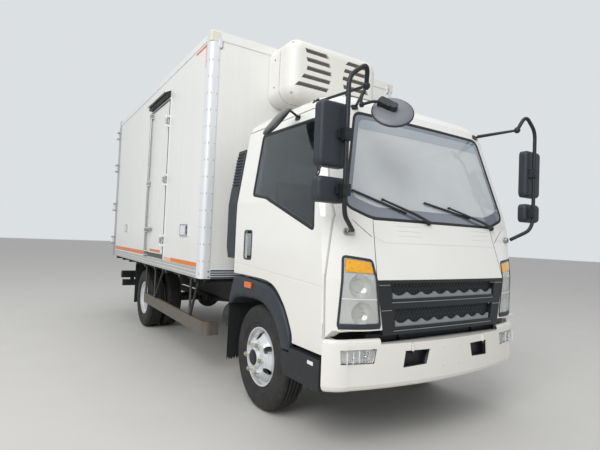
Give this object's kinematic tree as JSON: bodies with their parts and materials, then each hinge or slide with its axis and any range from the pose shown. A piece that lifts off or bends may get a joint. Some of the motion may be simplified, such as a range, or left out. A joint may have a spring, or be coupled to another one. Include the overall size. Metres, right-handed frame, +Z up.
{
  "type": "refrigerated truck",
  "caption": "Light two-axle refrigerated truck: tilting forward-control cab, insulated box body with side and rear doors, and a front-mounted cooling unit.",
  "frame": {"origin": "on the ground, at the middle of the truck's overall length and width", "axes": "+X forward, +Y to the truck's left, +Z up"},
  "size_m": [6.1098, 2.324, 3.13],
  "materials": {
    "frame_paint": "satin black chassis paint",
    "cast_metal": "painted cast iron",
    "steel_grey": "grey coated steel",
    "black_plastic": "grained dark plastic",
    "lamp_lens": "clear moulded lens",
    "strip_plastic": "grey moulded plastic",
    "lamp_bowl": "metallised housing",
    "tail_lens": "red lens",
    "cab_paint": "white gloss paint",
    "box_skin": "white gel-coated panel",
    "aluminium": "satin extrusion",
    "stainless": "brushed",
    "unit_plastic": "white moulded housing",
    "glass": "clear",
    "seat_fabric": "woven seat cloth",
    "wheel_paint": "silver wheel paint",
    "tyre_rubber": "rubber"
  },
  "bodies": {
    "chassis": {"frame_rails": "frame_paint", "front_axle": "frame_paint", "rear_axle": "frame_paint", "leaf_springs": "frame_paint", "engine_block": "cast_metal", "driveline": "frame_paint", "fuel_tank": "steel_grey", "air_tank": "steel_grey", "exhaust": "steel_grey", "side_guards": "steel_grey", "rear_guard": "frame_paint", "mudguards": "black_plastic", "tail_lamps": "tail_lens", "bumper": "cab_paint", "fog_lamps": "lamp_lens", "steps": "black_plastic", "box_bearers": "frame_paint", "box_floor": "box_skin", "box_right_wall": "box_skin", "box_left_wall": "box_skin", "box_front_wall": "box_skin", "box_roof": "box_skin", "box_edges": "aluminium", "rear_frame": "stainless", "side_surround": "aluminium", "cooling_unit": "unit_plastic"},
    "side_door": {"side_door": "box_skin"},
    "rear_door_right": {"rear_door_right": "box_skin"},
    "rear_door_left": {"rear_door_left": "box_skin"},
    "cab": {"cab_shell": "cab_paint", "front_panel": "cab_paint", "grille": "black_plastic", "grille_strips": "strip_plastic", "headlamps": "lamp_lens", "headlamp_housings": "lamp_bowl", "cab_glass": "glass", "wipers": "black_plastic", "dashboard": "black_plastic", "seats": "seat_fabric", "arch_trims": "black_plastic", "pillar_vents": "black_plastic", "mirror_arms": "black_plastic", "mirrors": "black_plastic"},
    "steering_wheel": {"steering_wheel": "black_plastic"},
    "cab_door_right": {"cab_door_right": "cab_paint", "door_glass_right": "glass", "kerb_mirror": "black_plastic"},
    "cab_door_left": {"cab_door_left": "cab_paint", "door_glass_left": "glass"},
    "knuckle_right": {"knuckle_right": "frame_paint"},
    "knuckle_left": {"knuckle_left": "frame_paint"},
    "front_wheel_right": {"front_wheel_right": "wheel_paint", "front_tyre_right": "tyre_rubber"},
    "front_wheel_left": {"front_wheel_left": "wheel_paint", "front_tyre_left": "tyre_rubber"},
    "rear_wheel_right": {"rear_wheel_right": "wheel_paint", "rear_tyre_right": "tyre_rubber"},
    "rear_wheel_left": {"rear_wheel_left": "wheel_paint", "rear_tyre_left": "tyre_rubber"}
  },
  "joints": [
    {"name": "cab_tilt", "type": "hinge", "parent": "chassis", "child": "cab", "pos_m": [2.83, 0, 0.745], "axis": [0, 1, 0], "range_deg": [0, 45]},
    {"name": "cab_door_right", "type": "hinge", "parent": "cab", "child": "cab_door_right", "pos_m": [2.743, -0.93, 1.4], "axis": [0, 0, 1], "range_deg": [0, 68]},
    {"name": "cab_door_left", "type": "hinge", "parent": "cab", "child": "cab_door_left", "pos_m": [2.743, 0.93, 1.4], "axis": [0, 0, -1], "range_deg": [0, 68]},
    {"name": "side_door", "type": "hinge", "parent": "chassis", "child": "side_door", "pos_m": [-0.065, -1.14, 1.9], "axis": [0, 0, 1], "range_deg": [0, 180]},
    {"name": "rear_door_right", "type": "hinge", "parent": "chassis", "child": "rear_door_right", "pos_m": [-3.045, -1.14, 2], "axis": [0, 0, 1], "range_deg": [0, 270]},
    {"name": "rear_door_left", "type": "hinge", "parent": "chassis", "child": "rear_door_left", "pos_m": [-3.045, 1.14, 2], "axis": [0, 0, -1], "range_deg": [0, 270]},
    {"name": "steer_right", "type": "hinge", "parent": "chassis", "child": "knuckle_right", "pos_m": [1.885, -0.715, 0.39], "axis": [0, 0, 1], "range_deg": [-35, 35]},
    {"name": "steer_left", "type": "hinge", "parent": "chassis", "child": "knuckle_left", "pos_m": [1.885, 0.715, 0.39], "axis": [0, 0, 1], "range_deg": [-35, 35]},
    {"name": "steering_wheel", "type": "hinge", "parent": "cab", "child": "steering_wheel", "pos_m": [2.305, 0.44, 1.44], "axis": [-0.5299, 0, 0.848], "range_deg": [-560, 560]},
    {"name": "spin_front_right", "type": "hinge", "parent": "knuckle_right", "child": "front_wheel_right", "pos_m": [1.885, -0.79, 0.39], "axis": [0, 1, 0], "continuous": true},
    {"name": "spin_front_left", "type": "hinge", "parent": "knuckle_left", "child": "front_wheel_left", "pos_m": [1.885, 0.79, 0.39], "axis": [0, 1, 0], "continuous": true},
    {"name": "spin_rear_right", "type": "hinge", "parent": "chassis", "child": "rear_wheel_right", "pos_m": [-1.475, -0.7375, 0.39], "axis": [0, 1, 0], "continuous": true},
    {"name": "spin_rear_left", "type": "hinge", "parent": "chassis", "child": "rear_wheel_left", "pos_m": [-1.475, 0.7375, 0.39], "axis": [0, 1, 0], "continuous": true}
  ],
  "couplings": [
    {"joint": "steer_left", "follows": "steer_right", "ratio": 1},
    {"joint": "steering_wheel", "follows": "steer_right", "ratio": 16}
  ]
}
